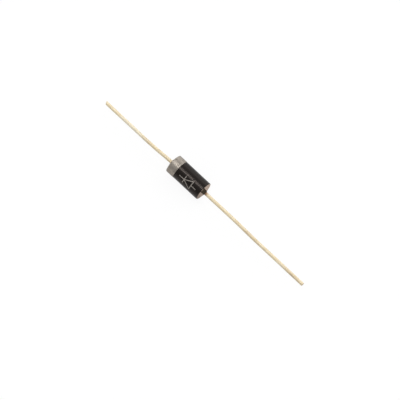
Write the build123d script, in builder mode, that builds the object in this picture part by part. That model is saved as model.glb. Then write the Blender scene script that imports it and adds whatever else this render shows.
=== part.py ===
from build123d import *
import os
from math import acos, atan2, cos, degrees, radians, sin, tan

# Axial rectifier diode, lying on its barrel on the surface z = 0.
# Millimetres. X runs along the leads, from the cathode tip to the anode tip.
# The origin is midway between the two lead tips, on the surface below.

os.makedirs("parts", exist_ok=True)

# Moulded body
body_diameter = 2.23
barrel_length = 4.59
end_slope = 15.8        # degrees that each coned end leans back from square
rim_radius = 0.08
flash_height = 0.016
flash_slope = 45.0      # degrees that each side of the flash ridge leans in to its crest
gate_width = 0.56
gate_height = 0.09      # how far the broken gate stands out of the end cone
gate_lean = 2.0         # degrees from straight up, seen along the leads

# Printed band
band_width = 1.05
ink_thickness = 0.02

# Wire leads
lead_diameter = 0.40
cathode_lead_length = 9.93
anode_lead_length = 14.75
cathode_shear_angle = 25.0
anode_shear_angle = 4.0
cathode_sway = 0.15     # sideways step of the wire, taken gradually over its run
cathode_sway_start = 0.05       # from the neck of the nail head, inside the body
cathode_sway_run = 6.2
anode_sway = 0.05
anode_sway_start = 6.35
anode_sway_run = 3.3

# Nail heads inside the body
head_diameter = 1.36
head_thickness = 0.30
head_edge_bevel = 0.05
neck_diameter = 0.76
neck_length = 0.22

# Junction between the heads
die_side = 0.78
die_thickness = 0.25
die_etch_angle = 8.0    # degrees that the etched edges of the chip lean
solder_thickness = 0.05
solder_spread = 0.03    # how far the solder runs out past the chip on the head
coating_lap = 0.04      # rim of each head left free of the coating
coating_bulge = 0.12    # how far the coating swells past its edge on the heads

body_radius = body_diameter / 2
lead_radius = lead_diameter / 2
half_barrel = barrel_length / 2
end_rise = body_radius * tan(radians(end_slope))
root_rise = (body_radius - lead_radius) * tan(radians(end_slope))

# The ridge is run down into the barrel by half its height, so that no gap is left under it.
flash_half_width = 1.5 * flash_height / tan(radians(flash_slope))

# The diode rests on its ink ring and on the ridge under the ink, which sets how far the
# parting plane leans from upright.
rest_radius = body_radius + ink_thickness
parting_lean = degrees(acos(rest_radius / (rest_radius + flash_height)))

# Stations along X
overall_length = cathode_lead_length + barrel_length + 2 * root_rise + anode_lead_length
cathode_tip = -overall_length / 2
anode_tip = overall_length / 2
cathode_root = cathode_tip + cathode_lead_length
anode_root = anode_tip - anode_lead_length
body_middle = (cathode_root + anode_root) / 2
cathode_rim = body_middle - half_barrel
stack_half = die_thickness / 2 + solder_thickness

lead_axis = Axis((0, 0, rest_radius), (1, 0, 0))
level_plane = Plane.XY.offset(rest_radius)


def across(station):
    """Plane square to the leads at a station along X, centred on the lead axis."""
    return Plane(origin=(station, 0, rest_radius), x_dir=(0, 1, 0), z_dir=(1, 0, 0))


def along(lean):
    """Plane through the lead axis and the body's middle, leaning from upright by an angle."""
    turn = radians(lean)
    return Plane(
        origin=(body_middle, 0, rest_radius),
        x_dir=(1, 0, 0),
        z_dir=(0, -cos(turn), sin(turn)),
    )


def body_outline(skin):
    """Lengthwise section of the moulding, grown by a skin: barrel, coned ends, round rims."""
    with BuildSketch() as section:
        with BuildLine():
            Polyline(
                (-half_barrel, body_radius),
                (half_barrel, body_radius),
                (half_barrel + end_rise, 0),
                (half_barrel, -body_radius),
                (-half_barrel, -body_radius),
                (-half_barrel - end_rise, 0),
                close=True,
            )
        make_face()
        rims = section.vertices().filter_by(lambda corner: abs(corner.Y) > body_radius / 2)
        fillet(rims, radius=rim_radius)
        if skin > 0:
            offset(amount=skin, kind=Kind.INTERSECTION)
    return section.sketch


def wire_line(outward, start, sway_start, sway_run, sway, end):
    """Centre line of a lead: straight, an S of two equal arcs to one side, straight again."""
    turn = 2 * atan2(sway, sway_run)
    bend_radius = sway_run / (2 * sin(turn))
    side_turn = -outward * degrees(turn)
    with BuildLine() as centre_line:
        Line((start, 0), (sway_start, 0))
        away = JernArc((sway_start, 0), (outward, 0), bend_radius, side_turn)
        back = JernArc(away @ 1, away % 1, bend_radius, -side_turn)
        Line(back @ 1, (end, -sway))
    return centre_line.line


def head_profile(outward):
    """Half section of a nail head and its coned neck, from the solder face outwards."""
    face = body_middle + outward * stack_half
    back = face + outward * head_thickness
    with BuildSketch() as profile:
        with BuildLine():
            Polyline(
                (face, 0),
                (face, head_diameter / 2),
                (back, head_diameter / 2),
                (back, neck_diameter / 2),
                (back + outward * neck_length, lead_radius),
                (back + outward * neck_length, 0),
                close=True,
            )
        make_face()
        rim = profile.vertices().filter_by(lambda corner: corner.Y > (head_diameter + neck_diameter) / 4)
        chamfer(rim, length=head_edge_bevel)
    return profile.sketch


# Chip of silicon with its edges etched to a slant, wider on the cathode side
with BuildPart() as silicon_die:
    with BuildSketch(across(body_middle - die_thickness / 2)):
        Rectangle(die_side, die_side)
    extrude(amount=die_thickness, taper=die_etch_angle)
silicon_die.part.label = "silicon_die"
export_step(silicon_die.part, "parts/silicon_die.step")

# Solder between the chip's wide face and the cathode head, running out onto the head
with BuildPart() as cathode_solder:
    with BuildSketch(across(body_middle - die_thickness / 2)):
        Rectangle(die_side, die_side)
    with BuildSketch(across(body_middle - stack_half)):
        Rectangle(die_side + 2 * solder_spread, die_side + 2 * solder_spread)
    loft(ruled=True)
cathode_solder.part.label = "cathode_solder"
export_step(cathode_solder.part, "parts/cathode_solder.step")

# Solder between the chip's narrow face and the anode head
narrow_side = die_side - 2 * die_thickness * tan(radians(die_etch_angle))
with BuildPart() as anode_solder:
    with BuildSketch(across(body_middle + die_thickness / 2)):
        Rectangle(narrow_side, narrow_side)
    with BuildSketch(across(body_middle + stack_half)):
        Rectangle(narrow_side + 2 * solder_spread, narrow_side + 2 * solder_spread)
    loft(ruled=True)
anode_solder.part.label = "anode_solder"
export_step(anode_solder.part, "parts/anode_solder.step")

# Silicone bead that seals the chip's edge, swelling between the faces of the two heads
with BuildPart() as junction_coating:
    coating_edge = head_diameter / 2 - coating_lap
    with BuildSketch(along(0)):
        with BuildLine():
            Polyline(
                (-stack_half, coating_edge),
                (-stack_half, 0),
                (stack_half, 0),
                (stack_half, coating_edge),
            )
            ThreePointArc(
                (-stack_half, coating_edge),
                (0, coating_edge + coating_bulge),
                (stack_half, coating_edge),
            )
        make_face()
    revolve(axis=lead_axis)
    add(silicon_die.part, mode=Mode.SUBTRACT)
    add(cathode_solder.part, mode=Mode.SUBTRACT)
    add(anode_solder.part, mode=Mode.SUBTRACT)
junction_coating.part.label = "junction_coating"
export_step(junction_coating.part, "parts/junction_coating.step")

# Cathode lead: nail head, wire that leaves the body already swaying, slanted shear cut
with BuildPart() as cathode_lead:
    with BuildSketch(Plane(origin=(0, 0, rest_radius), x_dir=(1, 0, 0), z_dir=(0, -1, 0))):
        add(head_profile(-1))
    revolve(axis=lead_axis)
    wire_start = body_middle - stack_half - head_thickness
    sway_start = wire_start - neck_length - cathode_sway_start
    wire_end = cathode_tip - lead_diameter
    with BuildLine(level_plane) as cathode_path:
        add(wire_line(-1, wire_start, sway_start, cathode_sway_run, cathode_sway, wire_end))
    with BuildSketch(across(wire_start)):
        Circle(lead_radius)
    sweep(path=cathode_path.wire())
    shear = radians(cathode_shear_angle)
    split(
        bisect_by=Plane(
            origin=(cathode_tip, lead_radius - cathode_sway, rest_radius),
            z_dir=(-cos(shear), -sin(shear), 0),
        ),
        keep=Keep.BOTTOM,
    )
cathode_lead.part.label = "cathode_lead"
export_step(cathode_lead.part, "parts/cathode_lead.step")

# Anode lead: the same wire, longer and cut nearly square
with BuildPart() as anode_lead:
    with BuildSketch(Plane(origin=(0, 0, rest_radius), x_dir=(1, 0, 0), z_dir=(0, -1, 0))):
        add(head_profile(1))
    revolve(axis=lead_axis)
    wire_start = body_middle + stack_half + head_thickness
    sway_start = wire_start + neck_length + anode_sway_start
    wire_end = anode_tip + lead_diameter
    with BuildLine(level_plane) as anode_path:
        add(wire_line(1, wire_start, sway_start, anode_sway_run, anode_sway, wire_end))
    with BuildSketch(across(wire_start)):
        Circle(lead_radius)
    sweep(path=anode_path.wire())
    shear = radians(anode_shear_angle)
    split(
        bisect_by=Plane(
            origin=(anode_tip, lead_radius - anode_sway, rest_radius),
            z_dir=(cos(shear), -sin(shear), 0),
        ),
        keep=Keep.BOTTOM,
    )
anode_lead.part.label = "anode_lead"
export_step(anode_lead.part, "parts/anode_lead.step")

# Moulded body: turned form, flash ridge round the parting plane, gate stub on the anode
# end, and the cavity that the leads, their heads and the sealed junction fill
with BuildPart() as epoxy_body:
    with BuildSketch(along(parting_lean)):
        add(body_outline(0))
        split(bisect_by=Plane.XZ)
    revolve(axis=lead_axis)
    with BuildSketch(along(parting_lean)):
        add(body_outline(flash_height))
    extrude(amount=flash_half_width, both=True, taper=flash_slope)
    gate_top = body_radius - rim_radius
    gate_foot = lead_radius / 2
    with BuildSketch(along(gate_lean)):
        with BuildLine():
            Polyline(
                (half_barrel, gate_top),
                (half_barrel + end_rise * rim_radius / body_radius + gate_height, gate_top),
                (half_barrel + end_rise * (1 - gate_foot / body_radius) + gate_height, gate_foot),
                (half_barrel, gate_foot),
                close=True,
            )
        make_face()
    extrude(amount=gate_width / 2, both=True)
    for inner in (cathode_lead, cathode_solder, silicon_die, anode_solder, anode_lead, junction_coating):
        add(inner.part, mode=Mode.SUBTRACT)
epoxy_body.part.label = "epoxy_body"
export_step(epoxy_body.part, "parts/epoxy_body.step")

# Printed ink ring over the barrel, the flash and half of the cathode rim
with BuildPart() as cathode_band:
    with BuildSketch(along(parting_lean)):
        add(body_outline(ink_thickness))
        split(bisect_by=Plane.XZ)
    revolve(axis=lead_axis)
    with BuildSketch(along(parting_lean)):
        add(body_outline(flash_height + ink_thickness))
    extrude(amount=flash_half_width, both=True, taper=flash_slope)
    with BuildSketch(across(cathode_rim)):
        Circle(body_diameter)
    extrude(amount=band_width, mode=Mode.INTERSECT)
    add(epoxy_body.part, mode=Mode.SUBTRACT)
    with BuildSketch(across(cathode_rim)):
        Circle(body_radius - rim_radius)
    extrude(amount=band_width, mode=Mode.SUBTRACT)
cathode_band.part.label = "cathode_band"
export_step(cathode_band.part, "parts/cathode_band.step")
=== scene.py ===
import bpy
import numpy as np
from mathutils import Matrix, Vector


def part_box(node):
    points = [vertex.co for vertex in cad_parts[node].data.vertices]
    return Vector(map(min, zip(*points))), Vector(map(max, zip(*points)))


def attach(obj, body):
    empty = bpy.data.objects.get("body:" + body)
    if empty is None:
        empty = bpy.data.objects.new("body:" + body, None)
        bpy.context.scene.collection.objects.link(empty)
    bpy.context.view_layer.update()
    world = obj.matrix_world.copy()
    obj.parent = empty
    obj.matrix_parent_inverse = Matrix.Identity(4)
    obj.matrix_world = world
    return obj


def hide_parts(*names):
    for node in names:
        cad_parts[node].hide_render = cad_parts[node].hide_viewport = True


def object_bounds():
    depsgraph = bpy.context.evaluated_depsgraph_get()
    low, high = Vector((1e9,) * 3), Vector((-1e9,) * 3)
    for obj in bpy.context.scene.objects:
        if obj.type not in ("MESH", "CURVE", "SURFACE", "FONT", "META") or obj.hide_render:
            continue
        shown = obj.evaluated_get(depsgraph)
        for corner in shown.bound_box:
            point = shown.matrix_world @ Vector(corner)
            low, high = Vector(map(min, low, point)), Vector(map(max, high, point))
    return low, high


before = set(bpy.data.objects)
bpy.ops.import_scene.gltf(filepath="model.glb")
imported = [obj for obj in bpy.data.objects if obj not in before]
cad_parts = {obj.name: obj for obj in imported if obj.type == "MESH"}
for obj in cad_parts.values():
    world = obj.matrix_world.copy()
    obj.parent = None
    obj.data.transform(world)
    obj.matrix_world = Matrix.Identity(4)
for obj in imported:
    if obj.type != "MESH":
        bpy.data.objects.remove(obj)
cad_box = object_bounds()


# The view. The diode is seen from above through a long lens that leans a little towards
# the anode end, turned so that the leads run from the upper left to the lower right.
mm = 0.001
camera_lean = np.radians(11.5)
leads_slant = np.radians(43.0)
camera_distance = 500 * mm
sensor_width = 36.0
picture_pixels = 400
pixels_per_mm = 9.2
leads_middle_pixel = (204.30, 192.21)

anode_low, anode_high = (np.array(corner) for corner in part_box("anode_lead"))
axis_height = (anode_low[2] + anode_high[2]) / 2
leads_middle = np.array([(cad_box[0][0] + cad_box[1][0]) / 2, 0, axis_height])
towards_camera = np.array([np.sin(camera_lean), 0, np.cos(camera_lean)])
down_the_leads = np.array([np.cos(camera_lean), 0, -np.sin(camera_lean)])
across_the_leads = np.array([0.0, 1.0, 0.0])
picture_right = np.cos(leads_slant) * down_the_leads + np.sin(leads_slant) * across_the_leads
picture_up = np.cos(leads_slant) * across_the_leads - np.sin(leads_slant) * down_the_leads
pixels_right = leads_middle_pixel[0] - picture_pixels / 2
pixels_down = leads_middle_pixel[1] - picture_pixels / 2
aim = leads_middle - (pixels_right * picture_right - pixels_down * picture_up) * mm / pixels_per_mm

camera_data = bpy.data.cameras.new("camera")
camera_data.sensor_width = sensor_width
camera_data.lens = pixels_per_mm * sensor_width / picture_pixels * camera_distance / mm
camera_data.clip_start = 10 * mm
camera_data.clip_end = 10.0
camera = bpy.data.objects.new("camera", camera_data)
bpy.context.scene.collection.objects.link(camera)
camera_axes = np.eye(4)
camera_axes[:3, 0] = picture_right
camera_axes[:3, 1] = picture_up
camera_axes[:3, 2] = towards_camera
camera_axes[:3, 3] = aim + camera_distance * towards_camera
camera.matrix_world = Matrix(camera_axes.tolist())
bpy.context.scene.camera = camera
bpy.context.scene.view_settings.view_transform = "Standard"


# The floor. A plain white table top, which shows as bright as paper to the camera and
# still keeps a soft shadow of the diode.
floor_reach = 2.0
floor_depth = 0.01 * mm
paper_strength = 1.085
paper_share = {"Is Camera Ray": 0.84, "Is Glossy Ray": 0.25, "Is Transmission Ray": 0.84}


def material_graph(name):
    """A new node material: returns it with its nodes, its links and its surface shader."""
    material = bpy.data.materials.new(name)
    material.use_nodes = True
    nodes = material.node_tree.nodes
    return material, nodes, material.node_tree.links, nodes["Principled BSDF"]


floor_mesh = bpy.data.meshes.new("table_top")
floor_signs = [(-1, -1), (1, -1), (1, 1), (-1, 1)]
floor_corners = [(x * floor_reach, y * floor_reach, -floor_depth) for x, y in floor_signs]
floor_mesh.from_pydata(floor_corners, [], [(0, 1, 2, 3)])
floor = bpy.data.objects.new("table_top", floor_mesh)
bpy.context.scene.collection.objects.link(floor)
floor_paint, nodes, links, surface = material_graph("white_table")
surface.inputs["Base Color"].default_value = (0.70, 0.70, 0.70, 1)
surface.inputs["Roughness"].default_value = 0.9
surface.inputs["Specular IOR Level"].default_value = 0.1
paper = nodes.new("ShaderNodeEmission")
paper.inputs["Color"].default_value = (1, 1, 1, 1)
paper.inputs["Strength"].default_value = paper_strength
ray = nodes.new("ShaderNodeLightPath")
seen = None
for kind, amount in paper_share.items():
    share = nodes.new("ShaderNodeMath")
    share.operation = "MULTIPLY_ADD"
    share.inputs[1].default_value = amount
    share.inputs[2].default_value = 0
    links.new(ray.outputs[kind], share.inputs[0])
    if seen:
        links.new(seen, share.inputs[2])
    seen = share.outputs[0]
blend = nodes.new("ShaderNodeMixShader")
links.new(seen, blend.inputs["Fac"])
links.new(surface.outputs[0], blend.inputs[1])
links.new(paper.outputs[0], blend.inputs[2])
links.new(blend.outputs[0], nodes["Material Output"].inputs["Surface"])
floor_mesh.materials.append(floor_paint)


# The light. A soft box near the camera, whose reflection is the streak down the body. Wide
# lamps without a reflection fill in from the upper right, the anode end, the lower left
# and round the soft box, in a pale grey room.
lamp_distance = 600 * mm
key_along = np.radians(-11.5)
key_across = np.radians(17.2)
key_direction = [np.tan(key_along), np.tan(key_across), 1.0]
fill_lamps = {
    "side_light": dict(direction=[0.15, 0.85, 0.50], size=500 * mm, watts=1.10),
    "anode_end_light": dict(direction=[0.80, 0.45, 0.38], size=300 * mm, watts=0.6),
    "low_fill": dict(direction=[0.10, -0.80, 0.45], size=500 * mm, watts=0.46),
    "key_fill": dict(direction=key_direction, size=500 * mm, watts=0.15),
}


def round_lamp(name, direction, size, watts):
    """A round area lamp on a direction from the diode's middle, facing the diode."""
    direction = np.array(direction) / np.linalg.norm(direction)
    side = np.cross([0.0, 1.0, 0.0], direction)
    side = side / np.linalg.norm(side)
    lamp = bpy.data.lights.new(name, "AREA")
    lamp.shape = "DISK"
    lamp.size = size
    lamp.energy = watts
    lamp_object = bpy.data.objects.new(name, lamp)
    axes = np.eye(4)
    axes[:3, 0] = side
    axes[:3, 1] = np.cross(direction, side)
    axes[:3, 2] = direction
    axes[:3, 3] = leads_middle + lamp_distance * direction
    lamp_object.matrix_world = Matrix(axes.tolist())
    bpy.context.scene.collection.objects.link(lamp_object)
    return lamp_object


def coordinate(nodes, links, place, axis):
    """One coordinate of a place: its X, Y or Z."""
    split = nodes.new("ShaderNodeSeparateXYZ")
    links.new(place, split.inputs[0])
    return split.outputs[axis]


def ramp(nodes, links, value, low, high, from_low=0.0, from_high=1.0, curve="LINEAR"):
    """A number that runs from low to high as value runs between the two limits."""
    between = nodes.new("ShaderNodeMapRange")
    between.interpolation_type = curve
    between.inputs["From Min"].default_value = from_low
    between.inputs["From Max"].default_value = from_high
    between.inputs["To Min"].default_value = low
    between.inputs["To Max"].default_value = high
    links.new(value, between.inputs["Value"])
    return between.outputs["Result"]


def sum_or_product(nodes, links, operation, first, second, clamp=False):
    """Two numbers put together by ADD or MULTIPLY, and held between 0 and 1 by clamp."""
    result = nodes.new("ShaderNodeMath")
    result.operation = operation
    result.use_clamp = clamp
    links.new(first, result.inputs[0])
    links.new(second, result.inputs[1])
    return result.outputs[0]


round_lamp("key_soft_box", key_direction, size=160 * mm, watts=0.54)
for name, settings in fill_lamps.items():
    round_lamp(name, **settings).visible_glossy = False

room = bpy.data.worlds.new("room")
room.use_nodes = True
bpy.context.scene.world = room
nodes, links = room.node_tree.nodes, room.node_tree.links
around_room = nodes.new("ShaderNodeTexCoord").outputs["Generated"]
height = coordinate(nodes, links, around_room, "Z")
ceiling = ramp(nodes, links, height, 1.0, 0.42, 0.10, 0.55, "SMOOTHSTEP")
side = coordinate(nodes, links, around_room, "Y")
far_side = ramp(nodes, links, side, 0.60, 1.08, -0.9, 0.3, "SMOOTHSTEP")
backdrop = nodes["Background"]
backdrop.inputs["Color"].default_value = (1, 1, 1, 1)
room_glow = sum_or_product(nodes, links, "MULTIPLY", ceiling, far_side)
links.new(room_glow, backdrop.inputs["Strength"])


# The rectifier chip. A small square of silicon with etched edges, sealed in the middle of
# the body and never seen; its solid keeps its form and takes a dark crystalline finish.
def mm_coordinates(nodes, links):
    """Object coordinates turned into millimetres, for patterns given at their real size."""
    where = nodes.new("ShaderNodeTexCoord")
    scaled = nodes.new("ShaderNodeMapping")
    scaled.inputs["Scale"].default_value = (1 / mm, 1 / mm, 1 / mm)
    links.new(where.outputs["Object"], scaled.inputs["Vector"])
    return scaled.outputs["Vector"]


def speckle(nodes, links, place, per_mm, detail=3.0, stretch=(1, 1, 1)):
    """Noise of so many grains to the millimetre, drawn out along the axes by stretch."""
    pulled = nodes.new("ShaderNodeMapping")
    pulled.inputs["Scale"].default_value = tuple(1 / pull for pull in stretch)
    links.new(place, pulled.inputs["Vector"])
    noise = nodes.new("ShaderNodeTexNoise")
    noise.inputs["Scale"].default_value = per_mm
    noise.inputs["Detail"].default_value = detail
    links.new(pulled.outputs["Vector"], noise.inputs["Vector"])
    return noise.outputs["Fac"]


def mixed(nodes, links, under, over, share, kind="RGBA"):
    """One colour laid over another by a share, or with the kind FLOAT one number over
    another; each of the two is a value or a node's output."""
    mix = nodes.new("ShaderNodeMix")
    mix.data_type = kind
    for socket, layer in (("A", under), ("B", over)):
        if isinstance(layer, bpy.types.NodeSocket):
            links.new(layer, mix.inputs[socket])
        else:
            mix.inputs[socket].default_value = (*layer, 1) if kind == "RGBA" else layer
    links.new(share, mix.inputs["Factor"])
    return mix.outputs["Result"]


def mottled(name, dark, pale, per_mm, metallic, smooth, rough):
    """A plain finish with a fine mottle in its colour and its roughness."""
    material, nodes, links, surface = material_graph(name)
    grain = speckle(nodes, links, mm_coordinates(nodes, links), per_mm)
    links.new(mixed(nodes, links, dark, pale, grain), surface.inputs["Base Color"])
    links.new(ramp(nodes, links, grain, smooth, rough), surface.inputs["Roughness"])
    surface.inputs["Metallic"].default_value = metallic
    return material


def dress(node, material):
    """Gives a carried-over solid its finish."""
    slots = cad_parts[node].data.materials
    slots.clear()
    slots.append(material)


silicon_finish = mottled(
    "etched_silicon", (0.05, 0.055, 0.07), (0.09, 0.10, 0.12), per_mm=12, metallic=0.6, smooth=0.25, rough=0.4
)
dress("silicon_die", silicon_finish)


# The two solder pads. Lead-rich solder wetted between the chip and each nail head, dull
# and grey, melted in place before the body is moulded round them.
solder_finish = mottled(
    "dull_solder", (0.30, 0.30, 0.31), (0.42, 0.42, 0.43), per_mm=15, metallic=0.9, smooth=0.4, rough=0.6
)
dress("cathode_solder", solder_finish)
dress("anode_solder", solder_finish)


# The junction coating. A bead of milky silicone rubber round the chip's edge, painted on
# and cured between the two nail heads.
silicone_finish = mottled(
    "milky_silicone", (0.62, 0.62, 0.60), (0.74, 0.74, 0.72), per_mm=8, metallic=0.0, smooth=0.45, rough=0.6
)
dress("junction_coating", silicone_finish)


# The two wire leads. Drawn copper wire with a forged nail head, tinned after moulding to
# a pale gold, cut off by a shear that bares the copper and drags the tin over its edge.
wire_radius = 0.20 * mm
wire_turns = 72
ring_spacing = 0.1 * mm
hair = 1e-9 * mm
head_radius = (anode_high[2] - anode_low[2]) / 2
head_thickness = 0.30 * mm
head_bevel = 0.05 * mm
neck_radius = 0.38 * mm
neck_length = 0.22 * mm
cathode_sway = dict(step=0.15 * mm, start=0.05 * mm, run=6.2 * mm)
anode_sway = dict(step=0.05 * mm, start=6.35 * mm, run=3.3 * mm)
wander_depth = 0.006 * mm
wander_waves = [7.3 * mm, 4.1 * mm, 2.3 * mm]
wander_fade = 2 * mm
hammer_share = 0.006
hammer_waves = [0.9 * mm, 1.7 * mm, 0.5 * mm]
hammer_skew = 0.3 * mm

cathode_shear = np.radians(25)
anode_shear = np.radians(4)
cut_margin = 2.5 * wire_radius
cut_radius_shares = np.array([1.0, 1.0, 1.0, 0.985, 0.94, 0.80, 0.45])
cut_set_back = np.array([0.032, 0.008, 0.002, 0.0, 0.0, 0.001, 0.004]) * mm
first_cut_face_ring = 3
cut_copper_share = 0.8
bare_root_fade = (0.10 * mm, 0.45 * mm)

cathode_tarnish = [(2.1, 5.7, -0.85), (5.3, 6.6, -0.45)]
anode_tarnish = [(0.3, 2.2, 0.35), (2.3, 3.6, -0.35), (6.0, 9.7, 0.18)]
tarnish_fade = 0.4
# How much more of the tone sits on the wire's lower (-Y) side than on its upper side: in the brown stretches
# this is painted shade.
wire_painted_shade_share = 0.5

# The barrel that the leads are moulded into, which sets where their roots are.
barrel_radius = 1.115 * mm
barrel_length = 4.59 * mm
end_slope = np.tan(np.radians(15.8))
root_rise = (barrel_radius - wire_radius) * end_slope
cathode_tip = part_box("cathode_lead")[0][0]
cathode_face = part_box("cathode_lead")[1][0]
anode_face, anode_tip = anode_low[0], anode_high[0]
body_middle = (cathode_face + anode_face) / 2
cathode_rim = body_middle - barrel_length / 2
anode_rim = body_middle + barrel_length / 2


def ripple(t, waves, seed):
    """A smooth wander between about -1 and 1: a sum of sines of the given wavelengths, with
    phases drawn from a fixed seed."""
    phases = np.random.default_rng(seed).uniform(0, 2 * np.pi, len(waves))
    return sum(np.sin(2 * np.pi * t / wave + phase) for wave, phase in zip(waves, phases)) / len(waves)


def smooth_step(value, low, high):
    """0 below low, 1 above high, and an S curve between."""
    t = np.clip((value - low) / (high - low), 0, 1)
    return t * t * (3 - 2 * t)


def smooth_stretch(value, low, high, fade):
    """1 from low to high and 0 outside, with an S curve over a fade inside each end."""
    return smooth_step(value, low, low + fade) * (1 - smooth_step(value, high - fade, high))


def shell(rings, poles=None):
    """The points and faces of a closed surface over rings of points, an array of ring by
    point by xyz. Each ring joins the next. Two poles close the ends, or without poles the
    last ring joins the first."""
    ring_count, turn_count = rings.shape[:2]
    index = np.arange(ring_count * turn_count).reshape(ring_count, turn_count)
    after = np.roll(index, -1, axis=1)
    if poles is None:
        next_index, next_after = np.roll(index, -1, axis=0), np.roll(after, -1, axis=0)
        quads = np.stack([index, after, next_after, next_index], axis=-1)
        return rings.reshape(-1, 3), quads.reshape(-1, 4), np.zeros((0, 3), int)
    quads = np.stack([index[:-1], after[:-1], after[1:], index[1:]], axis=-1)
    start_fan = np.stack([after[0], index[0], np.full(turn_count, index.size)], axis=-1)
    end_fan = np.stack([index[-1], after[-1], np.full(turn_count, index.size + 1)], axis=-1)
    points = np.concatenate([rings.reshape(-1, 3), poles])
    return points, quads.reshape(-1, 4), np.concatenate([start_fan, end_fan])


def piece(name, shells, masks=None):
    """An object made of closed shells. Masks are named sets of numbers, one a point."""
    starts = np.cumsum([0] + [len(points) for points, _, _ in shells])
    points = np.concatenate([points for points, _, _ in shells])
    quads = np.concatenate([quads + start for (_, quads, _), start in zip(shells, starts)])
    fans = np.concatenate([triangles + start for (_, _, triangles), start in zip(shells, starts)])
    mesh = bpy.data.meshes.new(name)
    mesh.from_pydata(points.tolist(), [], quads.tolist() + fans.tolist())
    mesh.polygons.foreach_set("use_smooth", np.ones(len(mesh.polygons), bool))
    for mask, values in (masks or {}).items():
        layer = mesh.attributes.new(mask, "FLOAT", "POINT")
        layer.data.foreach_set("value", np.asarray(values, np.float32))
    mesh.update()
    made = bpy.data.objects.new(name, mesh)
    bpy.context.scene.collection.objects.link(made)
    return made


def with_poles(values):
    """Numbers for a ring surface with poles: the rings' own, then the mean of each end ring."""
    return np.concatenate([values.reshape(-1), [values[0].mean(), values[-1].mean()]])


def head_and_wire_rings(reach):
    """Stations and radii along a lead from its solder face as far as reach: the bevelled
    head, which starts at half its radius, the coned neck and the wire."""
    rings = np.array([
        (0, head_radius / 2),
        (0, head_radius - head_bevel),
        (head_bevel, head_radius),
        (head_thickness - head_bevel, head_radius),
        (head_thickness, head_radius - head_bevel),
        (head_thickness, neck_radius),
        (head_thickness + neck_length, wire_radius),
    ])
    wire_stations = np.arange(head_thickness + neck_length + ring_spacing, reach, ring_spacing)
    wire_radii = np.full(len(wire_stations), wire_radius)
    return np.concatenate([rings[:, 0], wire_stations]), np.concatenate([rings[:, 1], wire_radii])


def side_step(past_bend_start, step, run):
    """How far a lead has stepped aside: an S of two equal arcs, the first bending away over
    half the run and the second bending back."""
    turn = 2 * np.arctan2(step, run)
    bend_radius = run / (2 * np.sin(turn))
    into_bend = np.clip(past_bend_start, 0, run)
    arc = bend_radius - np.sqrt(bend_radius ** 2 - np.minimum(into_bend, run - into_bend) ** 2)
    return np.where(into_bend < run / 2, arc, step - arc)


def lead(name, outward, face, root, tip, sway, shear_angle, bare_root, tarnish, seed):
    """A lead as a profile carried along its path. The path runs straight out of the body,
    steps sideways through its sway, runs on straight, and wanders slightly. Each ring
    stands square to it; equal stations are held a hair apart where its slope is found. The
    last rings are set back along the path onto the slanted shear plane. A lead that runs
    towards -X has its rings turned round, so that its faces point outwards. Bare_root is
    the share of bare copper at the root. Tarnish is a list of stretches in millimetres
    from the tip, each with how brown, or below zero how pale, its tin is."""
    travel = abs(tip - face)
    root_station = abs(root - face)
    stations, radii = head_and_wire_rings(travel - cut_margin)
    stations = np.concatenate([stations, np.full(len(cut_radius_shares), travel)])
    radii = np.concatenate([radii, wire_radius * cut_radius_shares])
    cut_ring = np.arange(len(stations)) - (len(stations) - len(cut_radius_shares))

    bend_start = head_thickness + neck_length + sway["start"]
    wander = wander_depth * ripple(stations, wander_waves, seed)
    wander = wander * smooth_step(stations, root_station, root_station + wander_fade)
    sideways = wander - side_step(stations - bend_start, sway["step"], sway["run"])
    slope = np.gradient(sideways, stations + np.arange(len(stations)) * hair)
    slope = np.where((stations < bend_start) | (cut_ring >= 0), 0, slope)
    lean = np.arctan(slope)[:, None]

    around = np.arange(wire_turns) * 2 * np.pi / wire_turns
    to_side, upward = np.cos(around)[None, :], np.sin(around)[None, :]
    dents = hammer_share * ripple(stations[:, None] + hammer_skew * upward, hammer_waves, seed + 1)
    reach = radii[:, None] * np.where(stations[:, None] > root_station, 1 + dents, 1)
    along = stations[:, None] - reach * to_side * np.sin(lean)
    across = sideways[:, None] + reach * to_side * np.cos(lean)
    set_back = (wire_radius - reach * to_side) * np.tan(shear_angle)
    set_back = set_back + cut_set_back[np.clip(cut_ring, 0, None)][:, None]
    along = np.where(cut_ring[:, None] >= 0, along - set_back, along)
    points = np.stack([face + outward * along, across, axis_height + reach * upward], axis=-1)
    if outward < 0:
        points = points[:, ::-1]
    poles = [(face, 0, axis_height), points[-1].mean(axis=0)]

    bare = bare_root * (1 - smooth_step(stations - root_station, *bare_root_fade))
    bare = np.maximum(bare, cut_copper_share * (cut_ring >= first_cut_face_ring))
    copper_mask = np.repeat(bare[:, None], wire_turns, axis=1)
    from_tip = (travel - stations) / mm
    tone = sum(amount * smooth_stretch(from_tip, low, high, tarnish_fade) for low, high, amount in tarnish)
    # The stretches' real tone, weighted towards the wire's lower (-Y) side: the brown stretches get painted
    # shade there, and the pale stretches are paler there too.
    tone_and_shade_mask = tone[:, None] * (1 - wire_painted_shade_share * to_side)
    masks = {"bare_copper": with_poles(copper_mask), "tin_tone_and_shade": with_poles(tone_and_shade_mask)}
    return piece(name, [shell(points, poles)], masks)


def mask_value(nodes, name):
    """A named number stored on the mesh."""
    mask = nodes.new("ShaderNodeAttribute")
    mask.attribute_name = name
    return mask.outputs["Fac"]


def press_relief(nodes, links, surface, pattern, depth):
    """Fine relief in a surface: a pattern that raises it by up to half of a depth."""
    relief = nodes.new("ShaderNodeBump")
    relief.inputs["Strength"].default_value = 0.5
    relief.inputs["Distance"].default_value = depth
    links.new(pattern, relief.inputs["Height"])
    links.new(relief.outputs["Normal"], surface.inputs["Normal"])


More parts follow.
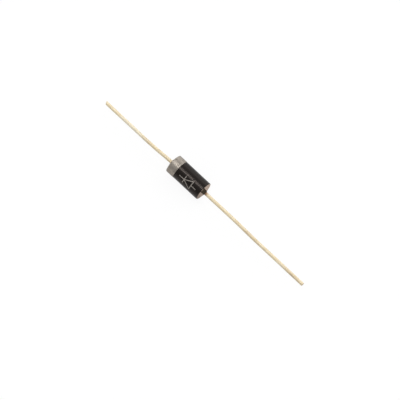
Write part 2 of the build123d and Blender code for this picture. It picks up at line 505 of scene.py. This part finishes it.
def tinned_wire(name, patches_per_mm):
    """Pale gold tinned wire: streaks drawn out along it, browner patches and stretches,
    paler stretches, dark pits, copper where the tin is missing, and fine draw lines in the
    relief."""
    material, nodes, links, surface = material_graph(name)
    place = mm_coordinates(nodes, links)
    # The stored tone: the tin's own tone, with painted shade towards the wire's lower (-Y) side.
    tone = mask_value(nodes, "tin_tone_and_shade")
    streaks = speckle(nodes, links, place, 9, 2, (9, 1, 1))
    patches = speckle(nodes, links, place, patches_per_mm, 4, (1.6, 1, 1))
    pits = speckle(nodes, links, place, 6, 3, (2.2, 1, 1))
    draw_lines = speckle(nodes, links, place, 22, 3, (6, 1, 1))

    streak_share = ramp(nodes, links, streaks, 0, 1, 0.35, 0.65)
    patch_share = ramp(nodes, links, patches, 0, 0.65, 0.50, 0.74)
    brown_share = ramp(nodes, links, tone, 0, 1, 0, 1)
    brown_share = sum_or_product(nodes, links, "ADD", patch_share, brown_share, clamp=True)
    pale_share = ramp(nodes, links, tone, 1, 0, -1, 0)
    pit_share = ramp(nodes, links, pits, 0, 1, 0.56, 0.66)
    where_brown = ramp(nodes, links, tone, 0, 0.8, 0.25, 1)
    pit_share = sum_or_product(nodes, links, "MULTIPLY", pit_share, where_brown)

    colour = mixed(nodes, links, (0.86, 0.710, 0.450), (0.98, 0.860, 0.62), streak_share)
    colour = mixed(nodes, links, colour, (0.66, 0.50, 0.315), brown_share)
    colour = mixed(nodes, links, colour, (0.97, 0.875, 0.67), pale_share)
    colour = mixed(nodes, links, colour, (0.24, 0.165, 0.10), pit_share)
    colour = mixed(nodes, links, colour, (0.34, 0.185, 0.105), mask_value(nodes, "bare_copper"))
    links.new(colour, surface.inputs["Base Color"])
    surface.inputs["Metallic"].default_value = 0.12
    links.new(ramp(nodes, links, streaks, 0.45, 0.60), surface.inputs["Roughness"])
    press_relief(nodes, links, surface, draw_lines, 0.0015 * mm)
    return material


cathode_wire = lead(
    "tinned_cathode_lead", outward=-1, face=cathode_face, root=cathode_rim - root_rise, tip=cathode_tip,
    sway=cathode_sway, shear_angle=cathode_shear, bare_root=0, tarnish=cathode_tarnish, seed=3,
)
anode_wire = lead(
    "tinned_anode_lead", outward=1, face=anode_face, root=anode_rim + root_rise, tip=anode_tip,
    sway=anode_sway, shear_angle=anode_shear, bare_root=1, tarnish=anode_tarnish, seed=8,
)
for wire, node, patches_per_mm in ((cathode_wire, "cathode_lead", 1.0), (anode_wire, "anode_lead", 1.1)):
    wire.data.materials.append(tinned_wire("tinned_wire_" + node, patches_per_mm))
    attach(wire, "root")
    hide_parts(node)


# The moulded body. Black filled epoxy, moulded in one shot round the finished stack: a
# plain barrel with shallow coned ends, the flash ridge of the mould's parting plane, and
# the scar of the gate, broken off beside the anode lead. The end faces are frosted pale,
# with painted shade towards their lower (-Y) side and painted light towards their upper
# (+Y) side.
rim_radius = 0.08 * mm
cone_ring_shares = np.concatenate([np.linspace(0.03, 0.9, 56), np.linspace(0.91, 1, 8)])
rim_rings = 10
half_barrel_rings = 24
barrel_turns = 360
end_face_edge = (0.80, 0.95)
swell_depth = 0.0015 * mm
swell_waves = [2.7 * mm, 1.3 * mm, 0.7 * mm]

flash_height = 0.016 * mm
flash_half_width = 0.022 * mm
flash_crest = 0.1 * flash_half_width
flash_points = 13
flash_points_angle = 0.022
flash_unevenness = 0.28
flash_waves = [1.9 * mm, 0.8 * mm, 0.37 * mm]
flash_shift = 2 * mm
ink_thickness = 0.02 * mm
rest_radius = barrel_radius + ink_thickness
parting_lean = np.arccos(rest_radius / (rest_radius + flash_height))

gate_width = 0.56 * mm
gate_height = 0.09 * mm
gate_lean = np.radians(2.0)
gate_top = barrel_radius - rim_radius
gate_foot = wire_radius / 2
gate_side_edge = (-0.012 * mm, 0.025 * mm)
gate_foot_edge = (-0.010 * mm, 0.030 * mm)
gate_top_edge = (-0.015 * mm, 0.020 * mm)
gate_rim_fade = 0.03 * mm
tear_depth = 0.02 * mm
tear_waves = [0.31 * mm, 0.17 * mm, 0.09 * mm]
tear_top_share = 0.6
gate_scar_edge = (0.02, 0.35)
lump_mean = 0.72
lump_swing = 0.5
lump_side_slant = 0.4
lump_up_slant = 0.3
lump_side_waves = [0.34 * mm, 0.21 * mm, 0.12 * mm]
lump_up_waves = [0.41 * mm, 0.23 * mm, 0.13 * mm]


def moulding_outline():
    """The body's outline as (distance along it, x, radius, x part and radius part of its
    outward normal), from the cathode apex round both rims to the anode apex: a cone, a
    rim arc, the barrel, and the same mirrored."""
    half = barrel_length / 2
    slope_angle = np.arctan(end_slope)
    tangent = rim_radius * np.tan((np.pi / 2 - slope_angle) / 2)
    cone_r = cone_ring_shares * (barrel_radius - tangent * np.cos(slope_angle))
    cone_x = half + (barrel_radius - cone_r) * end_slope
    arc_angles = np.linspace(slope_angle, np.pi / 2, rim_rings)[1:-1]
    arc_x = half - tangent + rim_radius * np.cos(arc_angles)
    arc_r = barrel_radius - rim_radius + rim_radius * np.sin(arc_angles)
    barrel_x = np.linspace(half - tangent, 0, half_barrel_rings)
    on_cone, on_barrel = np.ones(len(cone_x)), np.ones(len(barrel_x))
    x = np.concatenate([cone_x, arc_x, barrel_x])
    r = np.concatenate([cone_r, arc_r, on_barrel * barrel_radius])
    normal_x = np.concatenate([on_cone * np.cos(slope_angle), np.cos(arc_angles), on_barrel * 0])
    normal_r = np.concatenate([on_cone * np.sin(slope_angle), np.sin(arc_angles), on_barrel])
    x = np.concatenate([-x, x[-2::-1]])
    r = np.concatenate([r, r[-2::-1]])
    normal_x = np.concatenate([-normal_x, normal_x[-2::-1]])
    normal_r = np.concatenate([normal_r, normal_r[-2::-1]])
    distance = np.concatenate([[0], np.cumsum(np.hypot(np.diff(x), np.diff(r)))])
    return distance, body_middle + x, r, normal_x, normal_r


def barrel_angles():
    """Angles round the body from +Y: even steps, with close ones over both flash ridges."""
    even = np.arange(barrel_turns) * 2 * np.pi / barrel_turns
    ridge = np.linspace(-flash_points_angle, flash_points_angle, flash_points)
    upper = np.pi / 2 - parting_lean
    return np.unique(np.round(np.concatenate([even, upper + ridge, upper + np.pi + ridge]), 5))


def flash_relief(radius, angle, x):
    """Height of the flash: a ridge with leaning sides along the parting plane, uneven in
    height as torn flash is. It falls with the distance from the plane."""
    from_plane = np.abs(radius * np.cos(angle + parting_lean))
    ridge = 1 - smooth_step(from_plane, flash_crest, flash_half_width)
    tears = ripple(x + flash_shift * np.sign(np.sin(angle)), flash_waves, 21)
    return flash_height * ridge * (1 - flash_unevenness + flash_unevenness * tears)


def gate_relief(radius, angle):
    """Height of the broken gate over the anode cone, and a mask of where it is: a block
    from the rim to the lead with torn sides and a lumpy face."""
    up = radius * np.sin(angle)
    side = radius * np.cos(angle) - up * np.tan(gate_lean)
    tear = tear_depth * ripple(up, tear_waves, 31)
    sides = smooth_step(gate_width / 2 - np.abs(side + tear), *gate_side_edge)
    foot = smooth_step(up - gate_foot, *gate_foot_edge)
    top = smooth_step(gate_top + tear_top_share * tear - up, *gate_top_edge)
    where = sides * foot * top
    lumps = ripple(side + lump_side_slant * up, lump_side_waves, 32)
    lumps = lumps * ripple(up - lump_up_slant * side, lump_up_waves, 33)
    return gate_height * where * (lump_mean + lump_swing * lumps), smooth_step(where, *gate_scar_edge)


outline_distance, outline_x, outline_r, outline_nx, outline_nr = moulding_outline()
angles = barrel_angles()
x_grid, angle_grid = np.meshgrid(outline_x, angles, indexing="ij")
r_grid, nx_grid, nr_grid = (
    np.repeat(values[:, None], len(angles), axis=1) for values in (outline_r, outline_nx, outline_nr)
)
gate, gate_mask = gate_relief(r_grid, angle_grid)
at_anode_end = smooth_step(x_grid, anode_rim - gate_rim_fade, anode_rim)
swell = swell_depth * ripple(x_grid + r_grid * angle_grid, swell_waves, 22)
lift = flash_relief(r_grid, angle_grid, x_grid) + swell
lifted_r = r_grid + nr_grid * lift
body_rings = np.stack([
    x_grid + nx_grid * lift + gate * at_anode_end,
    lifted_r * np.cos(angle_grid),
    axis_height + lifted_r * np.sin(angle_grid),
], axis=-1)
body_poles = [(outline_x[0], 0, axis_height), (outline_x[-1], 0, axis_height)]
body_masks = {
    "end_face": with_poles(smooth_step(np.abs(nx_grid), *end_face_edge)),
    "gate_scar": with_poles(gate_mask * at_anode_end),
}
barrel = piece("moulded_barrel", [shell(body_rings, body_poles)], body_masks)

epoxy, nodes, links, surface = material_graph("black_moulded_epoxy")
place = mm_coordinates(nodes, links)
across_body = coordinate(nodes, links, place, "Y")
end_face = mask_value(nodes, "end_face")
cloud = speckle(nodes, links, place, 1.6, 4)
frost = speckle(nodes, links, place, 7, 5)
broken = speckle(nodes, links, place, 14, 4)
black = mixed(nodes, links, (0.0050, 0.0042, 0.0042), (0.0100, 0.0078, 0.0066), cloud)
frosted = mixed(nodes, links, (0.38, 0.298, 0.240), (0.66, 0.525, 0.435), frost)
torn_epoxy = mixed(nodes, links, (0.004, 0.003, 0.0015), (0.062, 0.046, 0.022), broken)
frost_patches = ramp(nodes, links, speckle(nodes, links, place, 6, 3), 0.75, 1.0, 0.3, 0.5)
# Painted shade and light: the pale frosting is thinned towards the end faces' lower (-Y) side, a painted
# shade, and strengthened towards their upper (+Y) side, a painted light.
end_face_painted_shade = ramp(nodes, links, across_body, 0.50, 0.86, -1.0, -0.45)
end_face_painted_light = ramp(nodes, links, across_body, 1.0, 1.16, 0.2, 1.0)
frost_and_painted_light = end_face
for share in (frost_patches, end_face_painted_shade, end_face_painted_light):
    frost_and_painted_light = sum_or_product(nodes, links, "MULTIPLY", frost_and_painted_light, share)
skin = mixed(nodes, links, black, frosted, frost_and_painted_light)
skin = mixed(nodes, links, skin, torn_epoxy, mask_value(nodes, "gate_scar"))
links.new(skin, surface.inputs["Base Color"])
surface.inputs["Specular Tint"].default_value = (1.0, 0.87, 0.79, 1)
surface.inputs["Specular IOR Level"].default_value = 0.40
barrel_roughness = ramp(nodes, links, cloud, 0.21, 0.28)
roughness = mixed(nodes, links, barrel_roughness, 0.75, end_face, "FLOAT")
links.new(roughness, surface.inputs["Roughness"])
press_relief(nodes, links, surface, speckle(nodes, links, place, 45, 2), 0.0004 * mm)
barrel.data.materials.append(epoxy)
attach(barrel, "root")
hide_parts("epoxy_body")


# The cathode band. Silver printing ink rolled onto the barrel in one turn: a thin soft-
# edged ring that follows the flash under it and wraps half of the cathode rim.
band_width = 1.05 * mm
band_rings = 40
rim_edge_depth = 0.010 * mm
rim_edge_waves = [1.1 * mm, 0.5 * mm, 0.23 * mm]
barrel_edge_depth = 0.014 * mm
barrel_edge_waves = [1.7 * mm, 0.6 * mm, 0.21 * mm, 0.09 * mm]
ink_taper_share = 0.035
ink_inset = 0.0035 * mm
ink_relief_depth = 0.0012 * mm
ink_relief_waves = [0.61 * mm, 0.27 * mm]
ink_relief_slant = 1.3
ink_sunk = 0.004 * mm


def on_moulding(distance, angle, lift):
    """Points at a distance along the body's outline and an angle round it, raised by lift
    over the barrel and its flash."""
    outline = (outline_x, outline_r, outline_nx, outline_nr)
    x, r, normal_x, normal_r = (np.interp(distance, outline_distance, values) for values in outline)
    raised = lift + flash_relief(r, angle, x)
    raised_r = r + normal_r * raised
    height = axis_height + raised_r * np.sin(angle)
    return np.stack([x + normal_x * raised, raised_r * np.cos(angle), height], axis=-1)


on_barrel = np.isclose(outline_r, barrel_radius)
rim_distance = np.interp(cathode_rim, outline_x, outline_distance)
edge_distance = np.interp(cathode_rim + band_width, outline_x[on_barrel], outline_distance[on_barrel])
round_barrel = barrel_radius * angles
ink_start = rim_distance + rim_edge_depth * ripple(round_barrel, rim_edge_waves, 41)
ink_end = edge_distance + barrel_edge_depth * (ripple(round_barrel, barrel_edge_waves, 42) - 1)
across_band = np.linspace(0, 1, band_rings)[:, None]
ink_distance = ink_start[None, :] + across_band * (ink_end - ink_start)[None, :]
ink_angle = np.repeat(angles[None, :], band_rings, axis=0)
ink_taper = np.sqrt(np.clip(np.minimum(across_band, 1 - across_band) / ink_taper_share, 0, 1))
ink_relief_place = ink_distance * ink_relief_slant + round_barrel[None, :]
ink_relief = ink_relief_depth * ripple(ink_relief_place, ink_relief_waves, 43)
ink_outer = on_moulding(ink_distance, ink_angle, (ink_thickness - ink_inset + ink_relief) * ink_taper)
ink_inner = on_moulding(ink_distance[::-1], ink_angle, -ink_sunk)
band = piece("silver_cathode_band", [shell(np.concatenate([ink_outer, ink_inner]))])

ink, nodes, links, surface = material_graph("silver_printing_ink")
place = mm_coordinates(nodes, links)
flakes = speckle(nodes, links, place, 30, 3)
cloud = speckle(nodes, links, place, 1.8, 5)
scuffs = speckle(nodes, links, place, 5, 4, (5, 1, 1))
cloud_share = ramp(nodes, links, cloud, 0, 1, 0.35, 0.65)
scuff_share = ramp(nodes, links, scuffs, 0, 0.6, 0.60, 0.75)
# Painted shade: the silver is darkened towards the band's lower (-Y) flank, the side away from the light.
ink_painted_shade_share = ramp(nodes, links, coordinate(nodes, links, place, "Y"), 0.5, 0, -1.1, -0.65)
silver = mixed(nodes, links, (0.395, 0.350, 0.302), (0.50, 0.45, 0.39), cloud_share)
silver = mixed(nodes, links, silver, (0.18, 0.155, 0.13), scuff_share)
silver = mixed(nodes, links, silver, (0.24, 0.195, 0.16), ink_painted_shade_share)
links.new(silver, surface.inputs["Base Color"])
surface.inputs["Metallic"].default_value = 0.78
links.new(ramp(nodes, links, flakes, 0.36, 0.43), surface.inputs["Roughness"])
press_relief(nodes, links, surface, flakes, 0.0008 * mm)
band.data.materials.append(ink)
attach(band, "root")
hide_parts("cathode_band")


# The printed mark. The schematic sign for a diode, silver ink pad-printed on the barrel
# beside its top in thin strokes: a triangle, a bar at its point and a stub at each side.
mark_angle = np.radians(115.5)
mark_middle = body_middle + 0.51 * mm
mark_reach = 1.22 * mm
triangle_length = 1.02 * mm
triangle_half_height = 0.52 * mm
bar_half_height = 0.50 * mm
corner_softening = 0.045 * mm
softening_points = 9
stroke_spacing = 0.01 * mm
stroke_width = 0.095 * mm
stroke_lift = 0.006 * mm
stroke_unevenness = 0.10
stroke_waves = [0.43 * mm, 0.17 * mm, 0.09 * mm]
stroke_end_length = 0.03 * mm
stroke_end_least = 0.05
section_side = np.array([-0.50, -0.38, -0.13, 0.13, 0.38, 0.50, 0.25, -0.25])
section_lift = np.array([-0.2, 0.8, 1.0, 1.0, 0.8, -0.2, -0.8, -0.8])


def stroke_path(corners, closed):
    """Points at even steps along straight lines through the corners, with the turns of a
    closed path softened by averaging each point with those near it, by a bell curve."""
    corners = np.array(corners + corners[:1] if closed else corners)
    reach = np.concatenate([[0], np.cumsum(np.hypot(*np.diff(corners, axis=0).T))])
    places = np.arange(0, reach[-1], stroke_spacing)
    path = np.stack([np.interp(places, reach, corners[:, axis]) for axis in (0, 1)], axis=-1)
    if not closed:
        return path
    shifts = np.arange(-softening_points, softening_points + 1)
    weights = np.exp(-0.5 * (shifts * stroke_spacing / corner_softening) ** 2)
    total = sum(weight * np.roll(path, shift, axis=0) for shift, weight in zip(shifts, weights))
    return total / weights.sum()


def stroke(corners, closed, seed):
    """A line of ink: a flat section carried along the path, its middle just above the
    barrel and its sides and back sunk into it. Its width wanders as printed lines do. The
    section's points are taken in reverse, so that the faces point outwards."""
    path = stroke_path(corners, closed)
    if closed:
        heading = np.roll(path, -1, axis=0) - np.roll(path, 1, axis=0)
    else:
        heading = np.gradient(path, axis=0)
    heading = heading / np.linalg.norm(heading, axis=1)[:, None]
    sideways = np.stack([-heading[:, 1], heading[:, 0]], axis=-1)
    travel = np.arange(len(path)) * stroke_spacing
    width = stroke_width * (1 + stroke_unevenness * ripple(travel, stroke_waves, seed))
    if not closed:
        from_end = np.minimum(travel, travel[-1] - travel) / stroke_end_length
        width = width * np.sqrt(np.clip(from_end, stroke_end_least, 1))
    flat = path[:, None] + sideways[:, None] * width[:, None, None] * section_side[None, :, None]
    angle = mark_angle - flat[..., 1] / barrel_radius
    radius = barrel_radius + stroke_lift * section_lift[None, :]
    height = axis_height + radius * np.sin(angle)
    rings = np.stack([mark_middle + flat[..., 0], radius * np.cos(angle), height], axis=-1)
    rings = rings[:, ::-1]
    return shell(rings, None if closed else [rings[0].mean(axis=0), rings[-1].mean(axis=0)])


point, base = -triangle_length / 2, triangle_length / 2
mark = piece("printed_diode_sign", [
    stroke([(point, 0), (base, -triangle_half_height), (base, triangle_half_height)], True, 51),
    stroke([(point, -bar_half_height), (point, bar_half_height)], False, 52),
    stroke([(-mark_reach, 0), (point, 0)], False, 53),
    stroke([(base, 0), (mark_reach, 0)], False, 54),
])

mark_ink, nodes, links, surface = material_graph("grey_printing_ink")
place = mm_coordinates(nodes, links)
thin_places = ramp(nodes, links, speckle(nodes, links, place, 16, 4), 0, 0.7, 0.48, 0.72)
mark_colour = mixed(nodes, links, (0.38, 0.35, 0.31), (0.12, 0.105, 0.09), thin_places)
links.new(mark_colour, surface.inputs["Base Color"])
surface.inputs["Metallic"].default_value = 0.2
surface.inputs["Roughness"].default_value = 0.45
mark.data.materials.append(mark_ink)
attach(mark, "root")
